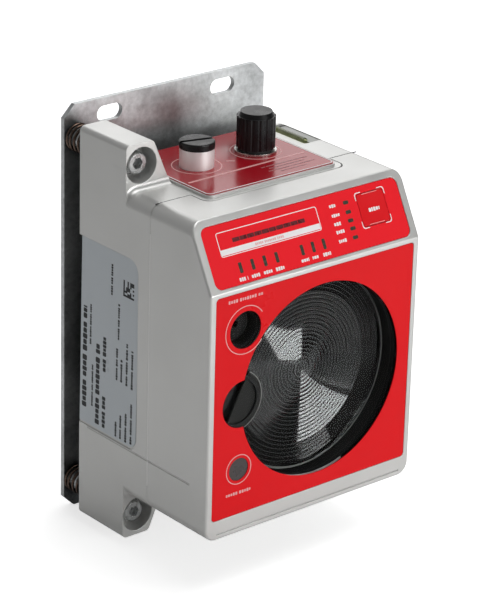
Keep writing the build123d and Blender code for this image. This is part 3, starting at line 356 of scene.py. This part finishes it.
def place(origin, across, up):
    """A flat place on the part: its own x and y run along across and up, and its z points outwards."""
    u = Vector(across).normalized()
    v = Vector(up).normalized()
    n = u.cross(v)
    m = Matrix((u, v, n)).transposed().to_4x4()
    m.translation = Vector(origin)
    return Matrix.Scale(MM, 4) @ m


FRONT = place((0, Y_PRINT, 0), (1, 0, 0), (0, 0, 1))
SLANT = place((0, Y_HOOD + FOIL_SUNK * cos(LEAN), Z_KNEE - FOIL_SUNK * sin(LEAN)), (1, 0, 0),
              (0, sin(LEAN), cos(LEAN)))
TOP = place((0, 0, Z_TOP), (1, 0, 0), (0, 1, 0))
DECK = place((0, 0, Z_DECK), (1, 0, 0), (0, 1, 0))
LABEL_SUNK = 0.7
LABEL_LEAN = radians(0.8)
SIDE = place((LABEL_SUNK * cos(LABEL_LEAN) - HALF_W, 0, -1.6 - LABEL_SUNK * sin(LABEL_LEAN)), (0, -1, 0),
             (sin(LABEL_LEAN), 0, cos(LABEL_LEAN)))


def rounded(width, height, radius, steps=5):
    """The outline of a rounded rectangle about its middle."""
    across = width / 2 - radius
    up = height / 2 - radius
    points = []
    for cx, cy, start in ((1, 1, 0), (-1, 1, 90), (-1, -1, 180), (1, -1, 270)):
        for i in range(steps + 1):
            a = radians(start + 90 * i / steps)
            points.append((cx * across + radius * cos(a), cy * up + radius * sin(a)))
    return points


def circle(radius, count):
    return [(radius * cos(2 * pi * i / count), radius * sin(2 * pi * i / count)) for i in range(count)]


def slab(bm, outline, middle=(0, 0), low=0.0, high=0.05, turn=0.0):
    """A thin flat shape with the outline given, about middle."""
    c, s = cos(turn), sin(turn)
    flat = [(middle[0] + x * c - y * s, middle[1] + x * s + y * c) for x, y in outline]
    top = [bm.verts.new((x, y, high)) for x, y in flat]
    foot = [bm.verts.new((x, y, low)) for x, y in flat]
    bm.faces.new(top)
    bm.faces.new(list(reversed(foot)))
    count = len(flat)
    for i in range(count):
        j = (i + 1) % count
        bm.faces.new((foot[i], foot[j], top[j], top[i]))


def band(bm, outer, inner, middle=(0, 0), low=0.0, high=0.05, closed=True):
    """A thin flat band between two outlines with the same number of points."""
    rows = []
    for outline, z in ((outer, low), (outer, high), (inner, high), (inner, low)):
        rows.append([bm.verts.new((middle[0] + x, middle[1] + y, z)) for x, y in outline])
    count = len(outer)
    last = count if closed else count - 1
    for k in range(4):
        a, b = rows[k], rows[(k + 1) % 4]
        for i in range(last):
            j = (i + 1) % count
            bm.faces.new((a[i], a[j], b[j], b[i]))
    if not closed:
        bm.faces.new([rows[k][0] for k in range(4)])
        bm.faces.new([rows[k][-1] for k in (3, 2, 1, 0)])


def ring(bm, middle, radius, width, low=0.0, high=0.05, start=0.0, end=360.0, count=72):
    """A thin ring, or a part of one, in degrees."""
    whole = end - start >= 360.0
    steps = count if whole else count + 1
    angles = [radians(start + (end - start) * i / count) for i in range(steps)]
    outer = [((radius + width / 2) * cos(a), (radius + width / 2) * sin(a)) for a in angles]
    inner = [((radius - width / 2) * cos(a), (radius - width / 2) * sin(a)) for a in angles]
    band(bm, outer, inner, middle, low, high, whole)


def bar(bm, x, y, width, height, low=0.0, high=0.05, turn=0.0, soft=0.3):
    """A small printed bar about (x, y), with softened corners."""
    radius = soft * min(width, height)
    slab(bm, rounded(width, height, radius, 2), (x, y), low, high, turn)


def next_state(state):
    """The next number of a plain seeded sequence below 2 ** 31."""
    return (state * 1103515245 + 12345) % 2147483648


def line_of_bars(bm, start, end, y, height, seed, gap=0.3, upright=False, wide=0.45):
    """A line of print as words of small plain bars, from start to end. Each bar is at least wide times as
    long as the line is high. An upright line runs along y, at x of y."""
    state = seed
    at = start
    left = 0
    while at < end - 0.2:
        state = next_state(state)
        if left == 0:
            left = 3 + state // 65536 % 5
            if at > start:
                at += 0.5 * height
        length = min(height * (wide + 0.3 * (state / 2147483648.0)), end - at)
        if length <= 0.12:
            break
        tall = height * (0.8 + 0.2 * (state // 4096 % 2))
        middle = at + length / 2
        if upright:
            bar(bm, y, middle, tall, length, soft=0.2)
        else:
            bar(bm, middle, y, length, tall, soft=0.2)
        at += length + gap * 0.55 * height
        left -= 1


def skin(bm, rows):
    """Join rows of points, each one a closed loop, with faces, and close both ends."""
    for a, b in zip(rows[:-1], rows[1:]):
        for k in range(len(a)):
            j = (k + 1) % len(a)
            bm.faces.new((a[k], a[j], b[j], b[k]))
    bm.faces.new(rows[0])
    bm.faces.new(list(reversed(rows[-1])))


def finish(name, bm, material, body, where, smooth=False):
    """Turn the shape, put where it belongs, into a piece that rides on a body, if one is given."""
    bmesh.ops.recalc_face_normals(bm, faces=bm.faces)
    bm.transform(where)
    mesh = bpy.data.meshes.new(name)
    bm.to_mesh(mesh)
    bm.free()
    if smooth:
        mesh.polygons.foreach_set("use_smooth", [True] * len(mesh.polygons))
    mesh.materials.append(material)
    piece = bpy.data.objects.new(name, mesh)
    scene.collection.objects.link(piece)
    if body:
        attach(piece, body)
    return piece


# Control panel: the frame of the display, the lights with their names, and the key's marks

LEFT_LIGHTS = (-33.6, -28.0, -22.4, -16.8)
RIGHT_LIGHTS = (-4.8, 0.4, 5.6)
SIDE_LIGHTS = (19.6, 16.0, 12.8, 9.8, 6.4)
DISPLAY = (-16.95, 16.75)
WHITE_BAR = (-17.1, 13.85)
WHITE_BAR_W = 46.4
KEY_X = 32.5
KEY_Y = 15.15
BRACKET_X = 7.2
BRACKET_Y = 6.85
BRACKET_LINE = 0.34
BRACKET_PATH = ((3.2, 0.0), (1.1, 0.0), (0.55, 0.14), (0.14, 0.55), (0.0, 1.1), (0.0, 2.9))


def key_bracket(bm, sx, sy):
    """The bracket at one corner of the key: it starts along X, turns and ends along Y."""
    cx = KEY_X - sx * BRACKET_X
    cy = KEY_Y - sy * BRACKET_Y
    outer = []
    inner = []
    for i, (x, y) in enumerate(BRACKET_PATH):
        in_x = x + BRACKET_LINE if i > 1 else x
        in_y = y + BRACKET_LINE if i < 4 else y
        outer.append((cx + sx * x, cy + sy * y))
        inner.append((cx + sx * in_x, cy + sy * in_y))
    band(bm, outer, inner, closed=False)


bm = bmesh.new()
band(bm, rounded(47.0, 9.0, 0.9, 4), rounded(46.4, 8.4, 0.7, 4), DISPLAY)
slab(bm, rounded(WHITE_BAR_W, 2.1, 0.2, 2), WHITE_BAR)
for x, seed in zip(LEFT_LIGHTS, (5, 11, 17, 23)):
    line_of_bars(bm, x - 1.9, x + 2.0, 3.1, 1.35, seed)
for x, seed in zip(RIGHT_LIGHTS, (31, 37, 41)):
    line_of_bars(bm, x - 1.7, x + 1.9, 3.4, 1.35, seed)
for y, seed in zip(SIDE_LIGHTS, (50, 57, 64, 71, 78)):
    line_of_bars(bm, 12.6, 16.4, y, 1.3, seed)
for sx, sy in ((1, -1), (-1, -1), (1, 1), (-1, 1)):
    key_bracket(bm, sx, sy)
finish("panel_marks_white", bm, WHITE_INK, "housing", SLANT)

bm = bmesh.new()
line_of_bars(bm, KEY_X - 2.3, KEY_X + 2.9, 14.6, 1.5, 91)
finish("key_marks_white", bm, WHITE_INK, "key", SLANT)

bm = bmesh.new()
for cy in (20.9, 9.4):
    bar(bm, KEY_X, cy, 7.4, 0.18, high=0.04)
finish("panel_key_lines", bm, PINK_INK, "key", SLANT)

bm = bmesh.new()
line_of_bars(bm, -24.5, -10.5, WHITE_BAR[1], 0.9, 9, gap=0.5)
finish("panel_bar_print", bm, PINK_INK, "housing", SLANT @ Matrix.Translation((0, 0, 0.06)))

bm = bmesh.new()
for i in range(10):
    bar(bm, -32.2 + i * 3.4, 17.4, 3.2, 1.5, soft=0.1)
finish("panel_segments", bm, SEGMENTS, "housing", SLANT)

bm = bmesh.new()
for x in LEFT_LIGHTS + RIGHT_LIGHTS:
    bar(bm, x, 7.25, 1.45, 3.9, soft=0.25)
for y in SIDE_LIGHTS:
    bar(bm, 20.6, y, 2.5, 1.35, soft=0.25)
finish("panel_windows", bm, DARK_WINDOW, "housing", SLANT)

# Front prints

bm = bmesh.new()
line_of_bars(bm, -41.6, -25.5, 32.4, 1.25, 71, gap=0.5)
line_of_bars(bm, -40.7, -28.9, -44.0, 1.2, 77, gap=0.5)
finish("front_marks_white", bm, PINK_INK, "housing", FRONT)

bm = bmesh.new()
ring(bm, POINTER, 9.2, 0.32, start=35, end=325)
ring(bm, LED, 5.75, 0.32)
finish("front_ring_pale", bm, PINK_INK, "housing", FRONT)

# Deck prints

bm = bmesh.new()
slab(bm, rounded(56.0, 1.0, 0.3, 2), (1.2, -48.6), turn=radians(1.0))
bar(bm, 0.6, -39.7, 3.2, 0.9, turn=radians(-30))
finish("deck_line", bm, PINK_INK, "housing", DECK)

bm = bmesh.new()
ring(bm, BUS, 9.3, 0.45)
ring(bm, POWER, 9.6, 0.45)
finish("deck_rings", bm, PINK_INK, "housing", DECK)

bm = bmesh.new()
for y, left, right in ((-52.2, 5, 27), (-54.4, 7, 24), (-56.6, 5, 27), (-58.8, 9, 22)):
    line_of_bars(bm, left, right, y, 0.8, int(-y * 3))
for y, left, right in ((-24.0, -27, -19), (-26.5, -27, -21)):
    line_of_bars(bm, left, right, y, 0.8, int(-y * 5))
finish("deck_text", bm, DULL_INK, "housing", DECK)


def frame_round(left, right, front, rear, radius, steps=6):
    """The way round a film from its left rear corner past its front to its right rear corner."""
    points = [(left, rear)]
    for cx, start in ((left + radius, 180), (right - radius, 270)):
        for i in range(steps + 1):
            a = radians(start + 90 * i / steps)
            points.append((cx + radius * cos(a), front + radius + radius * sin(a)))
    points.append((right, rear))
    return points


low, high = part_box("connector_label")
left, right, front, rear = low[0] / MM, high[0] / MM, low[1] / MM, high[1] / MM
bm = bmesh.new()
band(bm, frame_round(left + 0.25, right - 0.25, front + 0.25, rear - 0.3, 2.2),
     frame_round(left + 0.75, right - 0.75, front + 0.75, rear - 0.3, 1.7), closed=False)
finish("deck_border", bm, WHITE_INK, "housing", DECK)

# Type label: lines of print that run upwards, and a square code of plain dots

LINE_UP = 1.6
CODE = (43.0, 23.15)
CODE_DOTS = 8
DOT_STEP = 0.8

bm = bmesh.new()
for y, low, high, tall, seed in (
    (-17.1, -32.5, 8.5, 2.5, 3), (-20.5, -5.9, 10.2, 0.9, 5), (-22.0, -30.7, -13.8, 0.9, 7),
    (-25.2, -37.0, -4.3, 2.4, 9), (-29.2, -37.1, -24.4, 1.9, 11), (-29.2, -14.2, -0.2, 1.9, 13),
    (-36.8, -37.8, -31.6, 1.1, 15), (-36.8, -14.8, -1.8, 1.1, 17), (-39.6, -37.8, -27.4, 1.1, 19),
    (-39.6, -14.7, -5.4, 1.1, 21), (-42.8, -38.0, -26.4, 1.1, 23), (-42.8, -15.1, 1.9, 1.1, 25),
    (-46.0, -37.6, -21.4, 1.1, 27), (-46.0, -15.5, -0.1, 1.1, 29), (-37.5, 1.6, 15.9, 1.0, 31),
    (-33.0, 18.0, 30.2, 1.0, 33),
):
    line_of_bars(bm, low + LINE_UP, high + LINE_UP, -y, 1.06 * tall, seed, gap=0.22, upright=True,
                 wide=0.60)
state = 7
half_code = DOT_STEP * (CODE_DOTS - 1) / 2
for row in range(CODE_DOTS):
    for column in range(CODE_DOTS):
        state = next_state(state)
        if state > 1000000000 or row == 0 or column == 0:
            x = CODE[0] - half_code + DOT_STEP * column
            y = CODE[1] + LINE_UP - half_code + DOT_STEP * row
            bar(bm, x, y, 0.78, 0.78, soft=0.05)
finish("label_print", bm, INK_AND_SEAM_SHADE, "housing", SIDE)

# Receiving lens with fine rings

low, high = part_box("receiving_lens")
lens_back = high[1] / MM
lens_r = (high[0] - low[0]) / 2 / MM
lens_t = (high[1] - low[1]) / MM
rings = 24
edge_r = lens_r - 1.4
pitch = edge_r / rings
edge_face = -lens_t + 0.5
face = -1.6
foot = -0.05
profile = [(0.0, face)]
for i in range(rings):
    middle = (i + 0.5) * pitch
    out_tilt = radians(22.5 * (1.0 - exp(-middle / 6.5)) + 0.12 * max(0.0, middle - 16.0))
    in_tilt = radians(16.5 + 0.16 * (middle - 15.0) if middle < 30.0 else 52.0)
    share = 0.60 if middle < 14.0 else (0.48 if middle < 30.0 else 0.82)
    top = i * pitch + share * pitch
    fall = share * pitch * tan(out_tilt)
    if i > 0:
        profile.append((i * pitch + 0.001, face))
    profile.append((top, face + fall))
    profile.append(((i + 1) * pitch - 0.001, face + fall - (1.0 - share) * pitch * tan(in_tilt)))
profile += [(edge_r + 0.1, edge_face), (edge_r + 0.35, edge_face - 0.25), (edge_r + 0.7, edge_face),
            (lens_r - 0.35, edge_face), (lens_r - 0.1, edge_face + 0.3), (lens_r - 0.1, foot), (0.0, foot)]
bm = bmesh.new()
count = 192
loops = []
for r, y in profile:
    way_round = circle(r, count) if r else [(0.0, 0.0)]
    loops.append([bm.verts.new((LENS[0] + x, lens_back + y, LENS[1] + z)) for x, z in way_round])
for a, b in zip(loops[:-1], loops[1:]):
    for k in range(count):
        j = (k + 1) % count
        if len(a) == 1:
            bm.faces.new((a[0], b[j], b[k]))
        elif len(b) == 1:
            bm.faces.new((a[k], a[j], b[0]))
        else:
            bm.faces.new((a[k], a[j], b[j], b[k]))
lens = finish("receiving_lens_rings", bm, LENS_DARK, None, Matrix.Scale(MM, 4), smooth=True)
bm = bmesh.new()
slab(bm, circle(12.1, 96), EMITTER_RIM, -30.0, 30.0)
cutter = finish("cutter", bm, LENS_DARK, None, place((0, lens_back, 0), (1, 0, 0), (0, 0, 1)))
cut = lens.modifiers.new("bite", "BOOLEAN")
cut.operation = "DIFFERENCE"
cut.object = cutter
cut.solver = "EXACT"
bpy.context.view_layer.update()
bitten = bpy.data.meshes.new_from_object(lens.evaluated_get(bpy.context.evaluated_depsgraph_get()))
lens.modifiers.clear()
lens.data = bitten
bitten.set_sharp_from_angle(angle=radians(7))
bpy.data.objects.remove(cutter)
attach(lens, "housing")
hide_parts("receiving_lens")

# The emitter's rim beside its window, and the lit edges of the rim and the lens

bm = bmesh.new()
half = [(12.0 * cos(radians(a)), 12.0 * sin(radians(a))) for a in range(-118, 63, 5)]
slab(bm, half, EMITTER_RIM, -4.4, -3.6)
finish("emitter_rim", bm, RIM, "housing", FRONT)
bm = bmesh.new()
ring(bm, EMITTER_RIM, 11.85, 0.3, -3.6, -3.55, -70.0, 58.0)
finish("emitter_edge_line", bm, EDGE_HIGHLIGHT, "housing", FRONT)
bm = bmesh.new()
ring(bm, LENS, lens_r - 0.52, 0.30, 0.0, 0.05, -160.0, 160.0, 160)
ring(bm, LENS, edge_r + 0.36, 0.22, 0.25, 0.30, -160.0, 160.0, 160)
finish("lens_edge_lines", bm, EDGE_HIGHLIGHT, "housing",
       place((0, lens_back + edge_face, 0), (1, 0, 0), (0, 0, 1)))

# The lit lower edge of the large window, and the disc in the window of the status light

bm = bmesh.new()
ring(bm, LENS, 39.0, 1.0, -2.49, -2.43, -116.0, -70.0, 40)
finish("window_glint", bm, GLINT, "housing", FRONT)
bm = bmesh.new()
slab(bm, circle(4.45, 64), LED, -1.9, -0.25)
finish("led_window", bm, SMOKED, "housing", FRONT)

# Hollow roundings where the ears stand on the housing: along its side, then round its corner

CORNER_R = 5.0
CORNER_X = HALF_W - CORNER_R
CORNER_Z = Z_TOP - CORNER_R
EAR_END = 30.2
EAR_FACE = -42.0
HOLLOW_R = 2.4
HOLLOW_SUNK = 0.3

bm = bmesh.new()
stations = [(EAR_END, 90.0)] + [(CORNER_X, 90.0 + 90.0 * i / 14) for i in range(14)]
for sx, sz in ((-1, 1), (-1, -1), (1, -1)):
    rows = []
    for x, angle in stations:
        c, d = cos(radians(angle)), sin(radians(angle))
        room = CORNER_R / max(-c, 0.001) - CORNER_R
        r = min(HOLLOW_R, 0.97 * room)
        foot = Vector((CORNER_R * c - x, EAR_FACE, CORNER_Z + CORNER_R * d))
        out = Vector((c, 0.0, d))
        row = []
        for k in range(9):
            a = radians(90.0 * k / 8)
            row.append(foot + out * (r - r * sin(a)) + Vector((0, r * cos(a) - r, 0)))
        row.append(foot - out * HOLLOW_SUNK + Vector((0, -r, 0)))
        row.append(foot - out * HOLLOW_SUNK + Vector((0, HOLLOW_SUNK, 0)))
        row.append(foot + out * r + Vector((0, HOLLOW_SUNK, 0)))
        rows.append([bm.verts.new((sx * -v.x, v.y, sz * v.z)) for v in row])
    skin(bm, rows)
ears = finish("ear_roundings", bm, PAINT, "housing", Matrix.Scale(MM, 4), smooth=True)
ears.data.set_sharp_from_angle(angle=radians(32))

# Painted highlights: pale strips in the seam of the housing and in the moulded line. Painted shade: dark bars
# in the seam on the top

bm = bmesh.new()
for sx in (-1, 1):
    for y, z, long, tall in ((Y_SEAM, -0.5, 0.44, 100.0), (RIB_Y, RIB_Z, RIB_LENGTH, 0.30)):
        start = len(bm.verts)
        slab(bm, rounded(long, tall, 0.1, 2), (y, z), -0.26, -0.06)
        bm.verts.ensure_lookup_table()
        for vert in bm.verts[start:]:
            forwards, upwards, out = vert.co
            vert.co = (sx * (HALF_W + out), forwards, upwards)
finish("seam_highlights", bm, SEAM_HIGHLIGHT, "housing", Matrix.Scale(MM, 4))
# Painted shade: dark bars in the seam groove on the top.
bm = bmesh.new()
for x, long in ((-39.8, 16.0), (42.3, 12.0)):
    bar(bm, x, Y_SEAM, long, 0.5, low=-0.3, high=-0.08)
finish("seam_shadow", bm, INK_AND_SEAM_SHADE, "housing", TOP)

# Springs with closed ends

SPRING_R = 4.95
WIRE_R = 0.55
OPEN_TURNS = 4.0
TURN_STEPS = 40
WIRE_SIDES = 12
SPRING_SHORTER = 0.65


def spring(name, centre, start, end):
    """A compression spring along Y: a closed coil at each end and open turns between."""
    total = OPEN_TURNS + 2.0
    closed = 2 * WIRE_R
    free = (end - start) - 2 * WIRE_R - 2 * closed
    path = []
    for i in range(int(total * TURN_STEPS) + 1):
        t = i / TURN_STEPS
        if t < 1.0:
            y = start + WIRE_R + closed * t
        elif t > total - 1.0:
            y = end - WIRE_R - closed * (total - t)
        else:
            y = start + WIRE_R + closed + free * (t - 1.0) / OPEN_TURNS
        a = 2 * pi * t
        path.append(Vector((centre[0] + SPRING_R * cos(a), y, centre[1] + SPRING_R * sin(a))))
    bm = bmesh.new()
    section = circle(WIRE_R, WIRE_SIDES)
    rows = []
    for i, p in enumerate(path):
        ahead = path[min(i + 1, len(path) - 1)] - path[max(i - 1, 0)]
        out = Vector((p.x - centre[0], 0, p.z - centre[1])).normalized()
        side = ahead.normalized().cross(out).normalized()
        rows.append([bm.verts.new(p + x * out + y * side) for x, y in section])
    skin(bm, rows)
    return finish(name, bm, COPPERY, None, Matrix.Scale(MM, 4), smooth=True)


for node_name, centre in (("top_spring", (-43.0, 70.0)), ("pivot_spring", (-43.0, -70.0)),
                          ("side_spring", (43.0, -70.0))):
    low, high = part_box(node_name)
    rear = high[1] - (SPRING_SHORTER * MM if node_name == "top_spring" else 0.0)
    coil = spring(node_name + "_coil", centre, low[1] / MM, rear / MM)
    if node_name == "top_spring":
        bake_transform(coil)
    else:
        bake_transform(coil)
    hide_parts(node_name)

# Camera

FOCAL_PIXELS = 2817.65
IMAGE_PIXELS = 600.0
SENSOR = 36.0
DISTANCE = 1052.02
azimuth, elevation, roll = radians(-40.24), radians(22.53), radians(1.53)
target = Vector((-3.48, -52.4, 11.3))
back = Vector((sin(azimuth) * cos(elevation), -cos(azimuth) * cos(elevation), sin(elevation)))
right0 = Vector((cos(azimuth), sin(azimuth), 0.0))
up0 = right0.cross(-back)
right = right0 * cos(roll) + up0 * sin(roll)
up = -right0 * sin(roll) + up0 * cos(roll)
camera_data = bpy.data.cameras.new("camera")
camera_data.sensor_fit = "AUTO"
camera_data.sensor_width = SENSOR
camera_data.lens = FOCAL_PIXELS / IMAGE_PIXELS * SENSOR
camera_data.clip_start = 0.01
camera_data.clip_end = 50.0
camera = bpy.data.objects.new("camera", camera_data)
scene.collection.objects.link(camera)
pose = Matrix((right, up, back)).transposed().to_4x4()
pose.translation = (target + back * DISTANCE) * MM
camera.matrix_world = pose
scene.camera = camera

# Floor, world and lights

floor_mat, g, floor_paint = new_material("floor_white")
g.feed(floor_paint.inputs["Roughness"], 0.9)
g.feed(floor_paint.inputs["Specular IOR Level"], 0.1)
dust = g.noise(g.node("TexCoord").outputs["Object"], 3.0, 2.0)
g.feed(floor_paint.inputs["Base Color"], g.mix(dust, (0.80, 0.80, 0.80, 1), (0.82, 0.82, 0.82, 1)))
white = g.node("Emission")
g.feed(white.inputs["Strength"], 0.66)
lit = g.node("AddShader")
g.feed(lit.inputs[0], floor_paint.outputs[0])
g.feed(lit.inputs[1], white.outputs[0])
seen = g.node("LightPath").outputs["Is Camera Ray"]
g.feed(floor_mat.node_tree.nodes["Material Output"].inputs["Surface"], g.mix_shaders(seen, floor_paint, lit))
bm = bmesh.new()
slab(bm, circle(6.0, 96), (0, 0), -0.02, 0.0)
floor = finish("floor", bm, floor_mat, None, Matrix.Translation((0, 0, -0.0823)))

world = bpy.data.worlds.new("studio")
scene.world = world
world.use_nodes = True
g = Graph(world.node_tree)
sky = world.node_tree.nodes["Background"]
g.feed(sky.inputs["Color"], (1, 1, 1, 1))
g.feed(sky.inputs["Strength"], 1.0)
around = g.node("Background")
g.feed(around.inputs["Strength"], 0.24)
way = g.node("TexCoord").outputs["Generated"]
split = g.node("SeparateXYZ")
g.feed(split.inputs[0], way)
fade = g.mapped(split.outputs["Y"], -0.6, 0.9, 0.55, 1.25)
towards = g.node("VectorMath", operation="DOT_PRODUCT")
g.feed(towards.inputs[0], way)
g.feed(towards.inputs[1], Vector((0.6, -0.60, 0.50)).normalized())
screen = g.mapped(towards.outputs["Value"], 0.72, 0.95, 1.0, 0.15, interpolation_type="SMOOTHSTEP")
g.feed(around.inputs["Color"], g.math("MULTIPLY", fade, screen))
path = g.node("LightPath")
shown = g.math("MAXIMUM", path.outputs["Is Camera Ray"], path.outputs["Is Transmission Ray"])
g.feed(world.node_tree.nodes["World Output"].inputs["Surface"], g.mix_shaders(shown, around, sky))


def lamp(name, direction, distance, size, level, aim=(0, -0.045, 0.0)):
    """A soft light in that direction. Level 1 shows a facing surface at its own colour."""
    data = bpy.data.lights.new(name, "AREA")
    data.shape = "RECTANGLE"
    data.size, data.size_y = size
    data.energy = level * pi * pi * distance ** 2
    obj = bpy.data.objects.new(name, data)
    scene.collection.objects.link(obj)
    d = Vector(direction).normalized()
    obj.location = Vector(aim) + d * distance
    obj.rotation_euler = d.to_track_quat("Z", "Y").to_euler()


lamp("top_box", (0.25, -0.2, 1.0), 1.5, (1.2, 1.0), 0.55)
lamp("front_box", (0.29, -0.95, 0.12), 0.85, (0.52, 0.28), 0.52, aim=(0.003, -0.085, -0.009))
lamp("rear_box", (0.60, 0.70, 0.50), 1.6, (1.6, 1.0), 0.245)

scene.view_settings.view_transform = "Standard"
